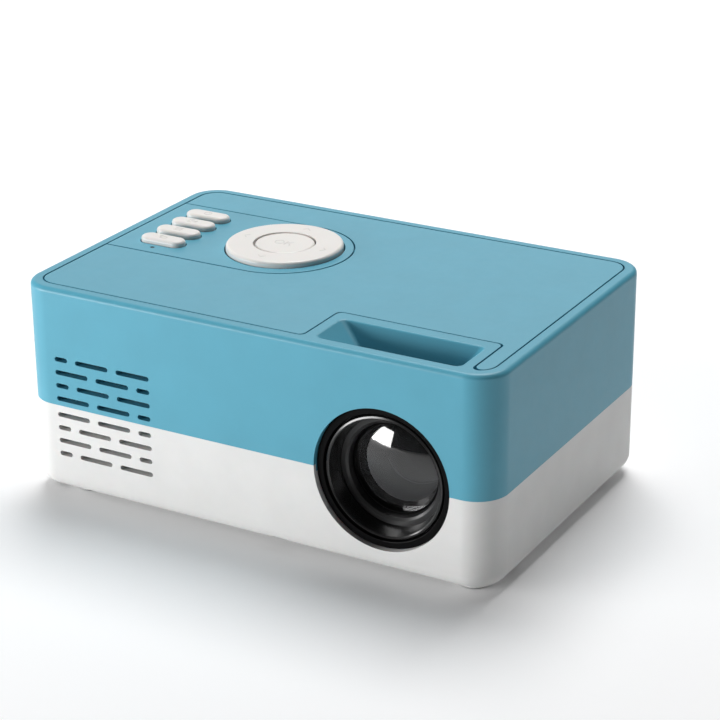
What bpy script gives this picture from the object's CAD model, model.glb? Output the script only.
import math

import bpy
from mathutils import Matrix, Vector


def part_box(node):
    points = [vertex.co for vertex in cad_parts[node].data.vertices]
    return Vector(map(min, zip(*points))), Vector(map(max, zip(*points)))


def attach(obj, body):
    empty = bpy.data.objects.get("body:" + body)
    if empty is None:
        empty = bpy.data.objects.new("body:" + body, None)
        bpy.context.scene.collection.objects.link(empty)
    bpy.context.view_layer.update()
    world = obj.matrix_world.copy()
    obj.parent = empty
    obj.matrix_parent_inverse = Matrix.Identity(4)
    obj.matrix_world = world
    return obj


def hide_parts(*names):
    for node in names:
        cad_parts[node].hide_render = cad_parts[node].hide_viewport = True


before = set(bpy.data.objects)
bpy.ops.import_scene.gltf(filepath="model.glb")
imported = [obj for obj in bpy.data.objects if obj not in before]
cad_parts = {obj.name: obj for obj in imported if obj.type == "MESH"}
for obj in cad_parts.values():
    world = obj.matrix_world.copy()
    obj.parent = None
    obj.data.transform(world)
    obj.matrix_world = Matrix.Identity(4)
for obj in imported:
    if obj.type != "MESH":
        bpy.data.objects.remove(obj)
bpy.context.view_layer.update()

# ---------------------------------------------------------------- studio
# A pale sweep of paper under and behind the projector, a low soft box to the front left, a
# large one overhead, a dim one behind, and a long lens on the front right corner of the case.
scene = bpy.context.scene
scene.view_settings.view_transform = "Standard"
MM = 0.001


def aim(thing, place, target, roll=0.0):
    """Stands a lamp or the camera at a place and turns it to face a target."""
    back = (place - target).normalized()
    right = Vector((0, 0, 1)).cross(back).normalized()
    turn = Matrix.Rotation(roll, 3, back)
    right = turn @ right
    up = back.cross(right)
    thing.rotation_euler = Matrix((right, up, back)).transposed().to_euler()
    thing.location = place


def seen_from(azimuth, elevation):
    """The direction towards a viewer; azimuth 0 is straight in front."""
    az, el = math.radians(azimuth), math.radians(elevation)
    return Vector((math.sin(az) * math.cos(el), -math.cos(az) * math.cos(el), math.sin(el)))


CAMERA_DISTANCE = 0.5707
CAMERA_ROLL = math.radians(-0.536)
LOOK_SIDEWAYS = 4.093 * MM
LOOK_UP = 28.159 * MM
FOCAL_LENGTH = 113.39
toward = seen_from(29.815, 22.635)
sideways = Vector((0, 0, 1)).cross(toward).normalized()
upward = toward.cross(sideways)
look_at = sideways * LOOK_SIDEWAYS + upward * LOOK_UP
camera_data = bpy.data.cameras.new("camera")
camera_data.lens = FOCAL_LENGTH
camera_data.sensor_width = 36.0
camera_data.shift_x = 0.01065
camera_data.shift_y = 0.00492
camera_data.clip_start = 0.01
camera = bpy.data.objects.new("camera", camera_data)
scene.collection.objects.link(camera)
aim(camera, look_at + toward * CAMERA_DISTANCE, look_at, CAMERA_ROLL)
scene.camera = camera


LIGHT_AIM = Vector((0, 0, 0.03))


def soft_light(name, azimuth, elevation, distance, width, height, power):
    """A rectangular soft box aimed at the projector."""
    data = bpy.data.lights.new(name, "AREA")
    data.shape = "RECTANGLE"
    data.size = width
    data.size_y = height
    data.energy = power
    lamp = bpy.data.objects.new(name, data)
    scene.collection.objects.link(lamp)
    aim(lamp, seen_from(azimuth, elevation) * distance, LIGHT_AIM)


soft_light("key_light", -44, 7.5, 0.9, 0.62, 0.26, 8.0)
soft_light("top_light", -165, 67, 1.0, 0.6, 0.6, 9.6)
soft_light("back_light", -150, 22, 1.4, 1.4, 0.8, 2.9)

world = bpy.data.worlds.new("studio_air")
world.use_nodes = True
world.node_tree.nodes["Background"].inputs["Color"].default_value = (0.97, 0.99, 1.0, 1)
world.node_tree.nodes["Background"].inputs["Strength"].default_value = 0.05
scene.world = world

bpy.ops.object.select_all(action="DESELECT")
bpy.ops.mesh.primitive_plane_add(size=12.0, location=(0, 0, 0))
floor = bpy.context.object
floor.name = "paper_floor"
paper = bpy.data.materials.new("white_paper")
paper.use_nodes = True
sheet = paper.node_tree.nodes["Principled BSDF"]
sheet.inputs["Base Color"].default_value = (0.96, 0.96, 0.965, 1)
sheet.inputs["Roughness"].default_value = 0.85
sheet.inputs["Specular IOR Level"].default_value = 0.1
sheet.inputs["Emission Color"].default_value = (1, 1, 1, 1)
sheet.inputs["Emission Strength"].default_value = 0.06
floor.data.materials.append(paper)

# ---------------------------------------------------------------- lower shell
# The white tub of the case: injection-moulded ABS with a fine spark-eroded grain. Its front
# wall carries the lower half of the lens opening and the lower four rows of vent slots.
SHELL_EDGE = 0.12 * MM
PANEL_EDGE = 0.08 * MM
CAP_EDGE = 0.05 * MM
MERGE_WITHIN = 1e-6


class Finish:
    """A node material under construction, with its patterns laid out in the part's own frame."""

    def __init__(self, name, roughness, colour):
        self.material = bpy.data.materials.new(name)
        self.material.use_nodes = True
        self.tree = self.material.node_tree
        self.shader = self.tree.nodes["Principled BSDF"]
        self.shader.inputs["Roughness"].default_value = roughness
        self.shader.inputs["Base Color"].default_value = (*colour, 1)
        self.place = self.tree.nodes.new("ShaderNodeTexCoord").outputs["Object"]

    def join(self, output, node, socket):
        self.tree.links.new(output, node.inputs[socket])

    def set(self, **values):
        """Sets sockets of the shader; an underscore stands for a space."""
        for name, value in values.items():
            self.shader.inputs[name.replace("_", " ")].default_value = value
        return self

    def speckle(self, size, detail=2.0, stretch=None):
        """Cloudy noise whose blobs are about one size across, in metres."""
        node = self.tree.nodes.new("ShaderNodeTexNoise")
        node.inputs["Scale"].default_value = 1.0 / size
        node.inputs["Detail"].default_value = detail
        place = self.place
        if stretch:
            mapping = self.tree.nodes.new("ShaderNodeMapping")
            mapping.inputs["Scale"].default_value = stretch
            self.join(place, mapping, "Vector")
            place = mapping.outputs["Vector"]
        self.join(place, node, "Vector")
        return node.outputs["Fac"]

    def spread(self, value, low, high, start=0.3, end=0.7):
        """Maps a pattern's usual values from start..end to low..high."""
        node = self.tree.nodes.new("ShaderNodeMapRange")
        self.join(value, node, "Value")
        for socket, number in zip(("From Min", "From Max", "To Min", "To Max"),
                                  (start, end, low, high)):
            node.inputs[socket].default_value = number
        return node.outputs["Result"]

    def tint(self, value, low, high):
        """Blends two colours by a pattern and gives the shader the result."""
        node = self.tree.nodes.new("ShaderNodeMix")
        node.data_type = "RGBA"
        self.join(value, node, "Factor")
        colours = [s for s in node.outputs if s.type == "RGBA"]
        for socket, colour in zip([s for s in node.inputs if s.type == "RGBA"], (low, high)):
            socket.default_value = (*colour, 1)
        self.join(colours[0], self.shader, "Base Color")
        return self

    def gloss(self, value, low, high):
        """Lets a pattern vary the roughness."""
        self.join(self.spread(value, low, high), self.shader, "Roughness")
        return self

    def relief(self, height, depth):
        """Raises and sinks the surface by a pattern, up to a depth in metres."""
        node = self.tree.nodes.new("ShaderNodeBump")
        node.inputs["Distance"].default_value = depth
        self.join(height, node, "Height")
        self.join(node.outputs["Normal"], self.shader, "Normal")
        return self


def shade(colour, factor):
    """The same colour, lighter or darker."""
    return tuple(min(1.0, channel * factor) for channel in colour)


def moulded(name, colour, roughness=0.42, grain=0.45, depth=0.004, mottle=0.025):
    """Moulded plastic: a fine eroded grain, faint flow marks and slightly uneven gloss."""
    finish = Finish(name, roughness, colour)
    finish.tint(finish.spread(finish.speckle(9 * MM, 3), 0, 1),
                shade(colour, 1 - mottle), shade(colour, 1 + mottle))
    finish.gloss(finish.speckle(2.2 * MM, 3), roughness - 0.02, roughness + 0.02)
    finish.relief(finish.speckle(grain * MM, 3), depth * MM)
    return finish


def coat(material, *names):
    """Gives CAD parts a finished material in place of their plain one."""
    for name in names:
        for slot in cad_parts[name].material_slots:
            slot.material = material


def alone(piece):
    """Selects one piece and nothing else."""
    bpy.ops.object.select_all(action="DESELECT")
    piece.select_set(True)
    bpy.context.view_layer.objects.active = piece


def softened(node, body, material, edge=SHELL_EDGE):
    """A copy of a CAD part with its mesh joined up and its sharp edges rounded over."""
    piece = bpy.data.objects.new(node + "_skin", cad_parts[node].data.copy())
    scene.collection.objects.link(piece)
    alone(piece)
    bpy.ops.object.mode_set(mode="EDIT")
    bpy.ops.mesh.select_all(action="SELECT")
    bpy.ops.mesh.remove_doubles(threshold=MERGE_WITHIN)
    bpy.ops.mesh.dissolve_limited(angle_limit=math.radians(0.5))
    bpy.ops.object.mode_set(mode="OBJECT")
    bevel = piece.modifiers.new("rounded_edges", "BEVEL")
    bevel.width = edge
    bevel.segments = 2
    bevel.limit_method = "ANGLE"
    bevel.angle_limit = math.radians(40)
    bpy.ops.object.modifier_apply(modifier=bevel.name)
    bpy.ops.object.shade_smooth_by_angle(angle=math.radians(50))
    weigh = piece.modifiers.new("flat_faces_stay_flat", "WEIGHTED_NORMAL")
    weigh.keep_sharp = True
    bpy.ops.object.modifier_apply(modifier=weigh.name)
    piece.data.materials.clear()
    piece.data.materials.append(material)
    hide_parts(node)
    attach(piece, body)
    return piece


milk_white = moulded("milk_white_shell", (0.73, 0.73, 0.72), 0.45).set(
    Specular_IOR_Level=0.4, Subsurface_Weight=0.05, Subsurface_Scale=0.002).material
softened("bottom_shell", "case", milk_white)

# ---------------------------------------------------------------- upper shell
# The sky-blue cover that meets the tub at the seam: the same moulding and grain, with the
# rest of the vent rows, the round rim of the top and the sloping well over the focus ring.
SKY_BLUE = (0.09, 0.355, 0.475)
sky_blue = moulded("sky_blue_shell", SKY_BLUE, 0.4).set(Specular_IOR_Level=0.4).material
softened("top_shell", "case", sky_blue)

# ---------------------------------------------------------------- top plate and control panel
# A thin blue plate let into the top, with the panel that holds the keys set into it. Both
# are moulded separately and glued down, so a fine shadow line runs round each.
plate_blue = moulded("blue_plate", shade(SKY_BLUE, 1.01), 0.38, grain=0.35, depth=0.003).set(
    Specular_IOR_Level=0.45).material
softened("top_plate", "case", plate_blue)
softened("control_panel", "case", plate_blue, PANEL_EDGE)

# ---------------------------------------------------------------- keys
# Four long cream push keys on the left of the panel, moulded in a harder, slightly shinier
# plastic, each with a low raised sign: on, source, menu and back.
CREAM = (0.78, 0.755, 0.725)
SIGN_RISE = 0.07 * MM
cream = moulded("cream_keys", CREAM, 0.32, grain=0.6, depth=0.0015, mottle=0.012).set(
    Subsurface_Weight=0.06, Subsurface_Scale=0.0015).material
cream_sign = moulded("cream_key_signs", shade(CREAM, 0.86), 0.4, grain=0.3, depth=0.001).material


def flattened(piece, drop):
    """Makes a key a little flatter, from its base up, to leave height for its sign."""
    heights = [vertex.co.z for vertex in piece.data.vertices]
    base, top = min(heights), max(heights)
    alone(piece)
    bpy.ops.object.mode_set(mode="EDIT")
    bpy.ops.mesh.select_all(action="SELECT")
    bpy.ops.transform.resize(value=(1, 1, (top - base - drop) / (top - base)),
                             center_override=(0, 0, base))
    bpy.ops.object.mode_set(mode="OBJECT")


def raised_sign(name, strokes, centre, top, body, width=0.16, closed=()):
    """A sign of round strokes, flattened and half sunk into a key's top, so it reads as
    moulded in one piece with it. Strokes are lists of x, y in millimetres."""
    curve = bpy.data.curves.new(name, "CURVE")
    curve.dimensions = "3D"
    curve.bevel_depth = width * MM
    curve.bevel_resolution = 2
    curve.use_fill_caps = True
    for number, stroke in enumerate(strokes):
        spline = curve.splines.new("POLY")
        spline.points.add(len(stroke) - 1)
        for point, (x, y) in zip(spline.points, stroke):
            point.co = (x * MM, y * MM, 0, 1)
        spline.use_cyclic_u = number in closed
    piece = bpy.data.objects.new(name, curve)
    scene.collection.objects.link(piece)
    alone(piece)
    bpy.ops.object.convert(target="MESH")
    piece = bpy.context.object
    bpy.ops.object.mode_set(mode="EDIT")
    bpy.ops.mesh.select_all(action="SELECT")
    bpy.ops.transform.resize(value=(1, 1, SIGN_RISE / (width * MM)), center_override=(0, 0, 0))
    bpy.ops.transform.translate(value=(centre[0] * MM, centre[1] * MM, top))
    bpy.ops.mesh.normals_make_consistent(inside=False)
    bpy.ops.object.mode_set(mode="OBJECT")
    bpy.ops.object.shade_smooth_by_angle(angle=math.radians(60))
    piece.data.materials.append(cream_sign)
    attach(piece, body)


def arc(radius, start, end, steps=18, centre=(0, 0)):
    """Points along a circular stroke, in degrees from the x axis."""
    angles = [math.radians(start + (end - start) * i / steps) for i in range(steps + 1)]
    return [(centre[0] + radius * math.cos(a), centre[1] + radius * math.sin(a)) for a in angles]


KEY_SIGNS = {
    "power_key": [arc(0.95, 125, 415), [(0, 0.35), (0, 1.25)]],
    "source_key": [[(-0.2, 0.9), (-1.3, 0.9), (-1.3, -0.9), (-0.2, -0.9)],
                   [(-0.6, 0), (1.3, 0)], [(0.7, 0.55), (1.3, 0), (0.7, -0.55)]],
    "menu_key": [[(-1.1, 0.75), (1.1, 0.75)], [(-1.1, 0), (1.1, 0)], [(-1.1, -0.75), (1.1, -0.75)]],
    "return_key": [[(-1.2, 0.45), (0.5, 0.45)] + arc(0.6, 90, -90, 10, (0.5, -0.15)) + [(-0.7, -0.75)],
                   [(-0.65, 1.0), (-1.25, 0.45), (-0.65, -0.1)]],
}
for key, strokes in KEY_SIGNS.items():
    cap = softened(key, key, cream, CAP_EDGE)
    flattened(cap, SIGN_RISE)
    low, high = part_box(key)
    middle = ((low.x + high.x) / 2 / MM, (low.y + high.y) / 2 / MM)
    raised_sign(key + "_sign", strokes, middle, high.z - SIGN_RISE, key)

# ---------------------------------------------------------------- direction ring and OK button
# The large ring rocks four ways about its middle and the OK button sits inside it. Both are
# the same cream plastic as the keys, with a small raised arrow at each quarter.
ring_low, ring_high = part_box("direction_ring")
RING_CENTRE = ((ring_low.x + ring_high.x) / 2 / MM, (ring_low.y + ring_high.y) / 2 / MM)
ARROW_RADIUS = 11.2
ARROW_REACH = 0.5
ARROW_HALF = 1.05
for part in ("direction_ring", "ok_button"):
    cap = softened(part, part, cream, CAP_EDGE)
    flattened(cap, SIGN_RISE)
ring_top = ring_high.z - SIGN_RISE
for number, quarter in enumerate(("right", "back", "left", "front")):
    turn = math.radians(90 * number)
    tip, tail = ARROW_RADIUS + ARROW_REACH, ARROW_RADIUS - ARROW_REACH
    head = [(tail, ARROW_HALF), (tip, 0), (tail, -ARROW_HALF)]
    turned = [(x * math.cos(turn) - y * math.sin(turn), x * math.sin(turn) + y * math.cos(turn))
              for x, y in head]
    raised_sign("arrow_" + quarter, [turned], RING_CENTRE, ring_top, "direction_ring", 0.15)
ok_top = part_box("ok_button")[1].z - SIGN_RISE
raised_sign("ok_letters", [arc(1.15, 0, 342, 19, (-1.5, 0)),
                           [(0.35, 1.15), (0.35, -1.15)],
                           [(1.95, 1.15), (0.45, -0.1)],
                           [(0.95, 0.32), (2.05, -1.15)]], RING_CENTRE, ok_top, "ok_button",
            0.17, closed=(0,))

# ---------------------------------------------------------------- rocker and key switches
# The hidden frame that the ring rocks on, in natural grey acetal, and the little black
# switches that the keys press, soldered to the board.
grey_acetal = moulded("grey_acetal", (0.24, 0.25, 0.26), 0.38, grain=0.5, depth=0.002).material
coat(grey_acetal, "rocker_frame")
black_nylon = moulded("black_nylon", (0.02, 0.02, 0.021), 0.36, grain=0.4, depth=0.003).material
coat(black_nylon, "tact_switches")

# ---------------------------------------------------------------- power light
# A thin clear rod carries the light of a small lamp on the board up to a pinhole in the
# panel. Switched off, it shows as a dark glassy dot.
smoked_rod = Finish("smoked_light_pipe", 0.12, (0.05, 0.09, 0.11)).set(
    Transmission_Weight=0.35, IOR=1.49, Specular_IOR_Level=0.5)
smoked_rod.gloss(smoked_rod.speckle(0.5 * MM), 0.08, 0.2)
coat(smoked_rod.material, "light_pipe", "power_light")

# ---------------------------------------------------------------- feet
# Four soft rubber pads under short bosses of the tub. The rubber is dull, a little dusty
# and dimpled where it has stood.
pad_rubber = Finish("pad_rubber", 0.8, (0.05, 0.05, 0.052)).set(Specular_IOR_Level=0.3)
pad_rubber.tint(pad_rubber.spread(pad_rubber.speckle(1.5 * MM, 4), 0, 1, 0.45, 0.75),
                (0.045, 0.045, 0.047), (0.11, 0.108, 0.105))
pad_rubber.relief(pad_rubber.speckle(0.25 * MM, 4), 0.02 * MM)
coat(pad_rubber.material, "foot_pad_front_left", "foot_pad_front_right",
     "foot_pad_rear_left", "foot_pad_rear_right")

# ---------------------------------------------------------------- screws and tripod insert
# Blackened steel screws hold the tub to the cover, the fan, the board and the lens holder,
# and a threaded brass insert is pressed into the underside.


def metal(name, colour, roughness, lines=(1, 1, 1), grain=0.2, depth=0.002):
    """Metal with a fine tool grain, drawn out along one direction if asked."""
    finish = Finish(name, roughness, colour).set(Metallic=1.0)
    finish.tint(finish.spread(finish.speckle(1.2 * MM, 4), 0, 1), shade(colour, 0.88),
                shade(colour, 1.08))
    finish.gloss(finish.speckle(0.6 * MM, 3, lines), roughness - 0.06, roughness + 0.1)
    finish.relief(finish.speckle(grain * MM, 2, lines), depth * MM)
    return finish


black_steel = metal("blackened_screw_steel", (0.06, 0.058, 0.057), 0.36).material
coat(black_steel, "case_screws", "holder_screws", "fan_screws", "board_screws")
coat(metal("pressed_brass", (0.72, 0.50, 0.20), 0.28, (1, 1, 4)).material, "tripod_insert")

# ---------------------------------------------------------------- focus ring
# The black ring round the lens barrel. Its ribbed grip stands up in the well at the front
# of the top, where a finger rolls it from side to side.
black_grip = moulded("black_grip", (0.018, 0.018, 0.019), 0.42, grain=0.35, depth=0.005).material
softened("focus_ring", "focus_ring", black_grip, CAP_EDGE)

# ---------------------------------------------------------------- lens mouth and barrel
# The fixed bezel in the case wall, the sliding barrel with its round lip, and the screwed
# ring that keeps the front glass in: glossy black plastic that picks up the studio lights.
bezel_black = moulded("bezel_black", (0.003, 0.003, 0.0031), 0.34, grain=0.5, depth=0.002,
                      mottle=0.1).set(Specular_IOR_Level=0.06).material
coat(bezel_black, "lens_bezel")
hood_black = moulded("hood_black", (0.012, 0.012, 0.0122), 0.2, grain=0.8, depth=0.001,
                     mottle=0.1).set(Specular_IOR_Level=0.6).material
coat(hood_black, "lens_barrel")
coat(moulded("retainer_black", (0.014, 0.014, 0.0145), 0.3, grain=0.5, depth=0.002).material,
     "lens_retainer")

# ---------------------------------------------------------------- lens glasses
# A large domed front glass and a smaller rear one, darkly coated against reflections and
# blackened round the edge, with a turned spacer cone between them, black but for its back.
BLACKED_TO = -25.2 * MM
PAINT_EDGE = 0.1 * MM
coated_glass = Finish("coated_glass", 0.01, (0.28, 0.28, 0.29)).set(
    Transmission_Weight=1.0, IOR=1.5, Specular_IOR_Level=0.02,
    Coat_Weight=1.0, Coat_IOR=1.36, Coat_Roughness=0.06)
coated_glass.gloss(coated_glass.speckle(3 * MM, 4), 0.0, 0.02)
coat(coated_glass.material, "rear_lens", "condenser_lens")


def turned(node, body, slot, material, rings, axis_x, axis_z, sides=128):
    """A piece turned about the lens axis from its rings, each a radius and a depth."""
    (radius, depth), *others = rings
    bpy.ops.object.select_all(action="DESELECT")
    bpy.ops.mesh.primitive_circle_add(vertices=sides, radius=radius, fill_type="NGON",
                                      location=(axis_x, depth, axis_z),
                                      rotation=(math.radians(90), 0, 0))
    piece = bpy.context.object
    piece.name = node + "_turned"
    bpy.ops.object.transform_apply(location=True, rotation=True, scale=True)
    bpy.ops.object.mode_set(mode="EDIT")
    bpy.ops.mesh.select_all(action="SELECT")
    for next_radius, next_depth in others:
        bpy.ops.mesh.extrude_region_move(
            TRANSFORM_OT_translate={"value": (0, next_depth - depth, 0)})
        narrower = next_radius / radius
        bpy.ops.transform.resize(value=(narrower, 1, narrower),
                                 center_override=(axis_x, next_depth, axis_z))
        radius, depth = next_radius, next_depth
    bpy.ops.mesh.merge(type="CENTER")
    bpy.ops.mesh.select_all(action="SELECT")
    bpy.ops.mesh.normals_make_consistent(inside=False)
    bpy.ops.object.mode_set(mode="OBJECT")
    bpy.ops.object.shade_smooth_by_angle(angle=math.radians(25))
    piece.data.materials.clear()
    piece.data.materials.append(material)
    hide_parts(node)
    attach(piece, body)
    return piece


DOME_RADIUS = 26.0 * MM
DOME_STEPS = 24
RIM_WIDTH = 2.0 * MM
BLACKED_WIDTH = 2.4 * MM
glass_low, glass_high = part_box("front_lens")
rim_radius = (glass_high.x - glass_low.x) / 2
dome_edge_radius = rim_radius - RIM_WIDTH
sagitta = DOME_RADIUS - math.sqrt(DOME_RADIUS ** 2 - dome_edge_radius ** 2)
rim_front = glass_low.y + sagitta
edge_angle = math.asin(dome_edge_radius / DOME_RADIUS)
clear_radius = rim_radius - BLACKED_WIDTH
axis_x = (glass_low.x + glass_high.x) / 2
axis_z = (glass_low.z + glass_high.z) / 2
glass_rings = [(clear_radius, glass_high.y), (rim_radius, glass_high.y), (rim_radius, rim_front)]
for step in range(DOME_STEPS):
    angle = edge_angle * (1 - step / DOME_STEPS)
    glass_rings.append((DOME_RADIUS * math.sin(angle),
                        glass_low.y + DOME_RADIUS * (1 - math.cos(angle))))
front_glass = turned("front_lens", "lens_barrel", "lens_glass", coated_glass.material, glass_rings,
                     axis_x, axis_z)
blacking = Finish("edge_blacking", 0.7, (0.004, 0.004, 0.004)).set(Specular_IOR_Level=0.1)
blacking.gloss(blacking.speckle(0.8 * MM, 3), 0.6, 0.8)
inner_glass = Finish("inner_coated_glass", 0.0, (0.28, 0.28, 0.29)).set(
    Transmission_Weight=1.0, IOR=1.5, Specular_IOR_Level=0.0)
inner_glass.gloss(inner_glass.speckle(3 * MM, 4), 0.0, 0.02)
front_glass.data.materials.append(blacking.material)
front_glass.data.materials.append(inner_glass.material)
for face in front_glass.data.polygons:
    off_axis = math.hypot(face.center.x - axis_x, face.center.z - axis_z)
    if abs(face.normal.y) < 0.2 or off_axis > clear_radius:
        face.material_index = 1
    elif face.normal.y > 0.9:
        face.material_index = 2
spacer = Finish("turned_spacer", 0.3, (0.7, 0.7, 0.71)).set(Specular_IOR_Level=0.05)
depth_into = spacer.tree.nodes.new("ShaderNodeSeparateXYZ")
spacer.join(spacer.place, depth_into, "Vector")
bare = spacer.spread(depth_into.outputs["Y"], 0, 1, BLACKED_TO - PAINT_EDGE, BLACKED_TO + PAINT_EDGE)
spacer.tint(bare, (0.004, 0.004, 0.004), (0.72, 0.72, 0.73))
spacer.join(bare, spacer.shader, "Metallic")
spacer.join(spacer.spread(bare, 0.5, 0.14, 0, 1), spacer.shader, "Roughness")
coat(spacer.material, "lens_spacer")

# ---------------------------------------------------------------- lens holder and light engine
# The barrel slides in a holder screwed to the floor of the tub. Behind it a dark grey
# housing with a lid keeps stray light in between the mirror, the panel and the lens.
engine_grey = moulded("engine_grey", (0.05, 0.052, 0.055), 0.5, grain=0.5, depth=0.006).material
coat(engine_grey, "lens_holder", "optical_housing", "housing_cover")

# ---------------------------------------------------------------- picture path
# A first-surface mirror turns the light through the liquid-crystal panel, which stands
# between two thin ringed sheets that act as flat lenses. A bright funnel feeds it.
coat(metal("silvered_mirror", (0.9, 0.91, 0.92), 0.04, depth=0.0002).material, "mirror")
ringed = Finish("ringed_sheet", 0.1, (0.8, 0.84, 0.85)).set(Transmission_Weight=0.8, IOR=1.49)
grooves = ringed.tree.nodes.new("ShaderNodeTexWave")
grooves.wave_type = "RINGS"
grooves.rings_direction = "X"
grooves.inputs["Scale"].default_value = 900
ringed.join(ringed.place, grooves, "Vector")
ringed.relief(grooves.outputs["Fac"], 0.02 * MM)
coat(ringed.material, "field_fresnel", "collimating_fresnel")
dark_panel = Finish("dark_panel_glass", 0.08, (0.02, 0.022, 0.03))
dark_panel.gloss(dark_panel.speckle(4 * MM, 3), 0.05, 0.12)
dark_panel.tint(dark_panel.spread(dark_panel.speckle(0.2 * MM), 0, 1), (0.015, 0.017, 0.022),
                (0.03, 0.03, 0.042))
coat(dark_panel.material, "lcd_panel")
coat(moulded("funnel_white", (0.78, 0.79, 0.80), 0.3, grain=0.6, depth=0.002).material,
     "light_funnel")

# ---------------------------------------------------------------- lamp and heat sink
# The lamp is a bank of white LEDs on an aluminium-cored board, bolted against an extruded
# sink whose fins stand in the fan's draught.
coat(metal("extruded_sink", (0.62, 0.63, 0.64), 0.38, (1, 1, 0.15), 0.15, 0.004).material,
     "heat_sink")


def dotted(name, ground, dots, pitch, size, roughness=0.4):
    """A board with rows of small dots on it."""
    finish = Finish(name, roughness, ground)
    cells = finish.tree.nodes.new("ShaderNodeTexVoronoi")
    cells.inputs["Scale"].default_value = 1.0 / pitch
    cells.inputs["Randomness"].default_value = 0.0
    finish.join(finish.place, cells, "Vector")
    finish.tint(finish.spread(cells.outputs["Distance"], 1, 0, size, size + 0.08), ground, dots)
    finish.relief(cells.outputs["Distance"], 0.01 * MM)
    return finish


coat(dotted("lamp_board", (0.75, 0.75, 0.73), (0.85, 0.72, 0.25), 4.5 * MM, 0.25).material,
     "led_board")

# ---------------------------------------------------------------- fan and dust mesh
# A square 35 mm fan behind the front vents blows over the sink. A black woven screen
# between it and the slots keeps fluff out.
fan_black = moulded("fan_black", (0.022, 0.022, 0.023), 0.4, grain=0.4, depth=0.004).material
coat(fan_black, "fan_frame", "fan_rotor")
weave = Finish("black_woven_mesh", 0.6, (0.015, 0.015, 0.015))
threads = []
for direction in ("X", "Z"):
    wave = weave.tree.nodes.new("ShaderNodeTexWave")
    wave.bands_direction = direction
    wave.inputs["Scale"].default_value = 420
    weave.join(weave.place, wave, "Vector")
    threads.append(wave.outputs["Fac"])
crossing = weave.tree.nodes.new("ShaderNodeMath")
crossing.operation = "MAXIMUM"
weave.tree.links.new(threads[0], crossing.inputs[0])
weave.tree.links.new(threads[1], crossing.inputs[1])
weave.tint(crossing.outputs[0], (0.004, 0.004, 0.004), (0.035, 0.035, 0.036))
weave.relief(crossing.outputs[0], 0.05 * MM)
coat(weave.material, "dust_mesh")

# ---------------------------------------------------------------- circuit board
# The main board hangs under the panel on pillars of the cover: green solder resist over
# copper tracks, a large video chip, capacitors in printed sleeves and white lead headers.
resist = Finish("green_solder_resist", 0.3, (0.01, 0.12, 0.045))
tracks = resist.tree.nodes.new("ShaderNodeTexBrick")
tracks.inputs["Scale"].default_value = 160
tracks.inputs["Mortar Size"].default_value = 0.06
tracks.inputs["Color1"].default_value = (0.01, 0.12, 0.045, 1)
tracks.inputs["Color2"].default_value = (0.012, 0.14, 0.05, 1)
tracks.inputs["Mortar"].default_value = (0.03, 0.22, 0.09, 1)
resist.join(resist.place, tracks, "Vector")
resist.join(tracks.outputs["Color"], resist.shader, "Base Color")
resist.relief(tracks.outputs["Fac"], 0.03 * MM)
coat(resist.material, "main_board")
coat(black_nylon, "video_chip", "ribbon_socket")
sleeve = moulded("capacitor_sleeve", (0.03, 0.035, 0.06), 0.25, grain=0.8, depth=0.001).material
coat(sleeve, "capacitors")
coat(moulded("header_ivory", (0.72, 0.70, 0.60), 0.4).material, "lead_headers")

# ---------------------------------------------------------------- ribbon and leads
# A flat amber film ribbon joins the board to the picture panel. Twisted leads in soft
# sleeves run to the fan, the lamp and the speaker.
amber = Finish("amber_film", 0.22, (0.55, 0.26, 0.04))
lines = amber.tree.nodes.new("ShaderNodeTexWave")
lines.bands_direction = "Y"
lines.inputs["Scale"].default_value = 600
amber.join(amber.place, lines, "Vector")
amber.tint(lines.outputs["Fac"], (0.40, 0.17, 0.03), (0.62, 0.33, 0.06))
amber.relief(lines.outputs["Fac"], 0.01 * MM)
coat(amber.material, "lcd_ribbon")
coat(moulded("black_lead_sleeve", (0.02, 0.02, 0.021), 0.5, grain=0.3, depth=0.004).material,
     "fan_lead", "lamp_lead", "speaker_lead")

# ---------------------------------------------------------------- rear sockets
# Along the back edge of the board: the power inlet, a USB and a display socket in bright
# folded steel, the round earphone socket and the dark window of the remote-control eye.
coat(metal("folded_socket_steel", (0.68, 0.68, 0.67), 0.25, (1, 5, 1)).material,
     "usb_socket", "hdmi_socket")
coat(black_nylon, "power_inlet", "audio_jack")
eye = Finish("dark_red_eye", 0.08, (0.02, 0.004, 0.006)).set(Specular_IOR_Level=0.6)
eye.gloss(eye.speckle(2 * MM, 3), 0.05, 0.14)
coat(eye.material, "infrared_receiver")

# ---------------------------------------------------------------- speaker
# A small round speaker faces the holes at the back: a pressed frame and a grey paper cone
# with fine fibres in it.
coat(fan_black, "speaker_basket")
cone = Finish("grey_paper_cone", 0.85, (0.09, 0.09, 0.088))
cone.tint(cone.spread(cone.speckle(0.5 * MM, 5, (1, 0.2, 1)), 0, 1), (0.06, 0.06, 0.058),
          (0.13, 0.13, 0.125))
cone.relief(cone.speckle(0.3 * MM, 5), 0.03 * MM)
coat(cone.material, "speaker_cone")
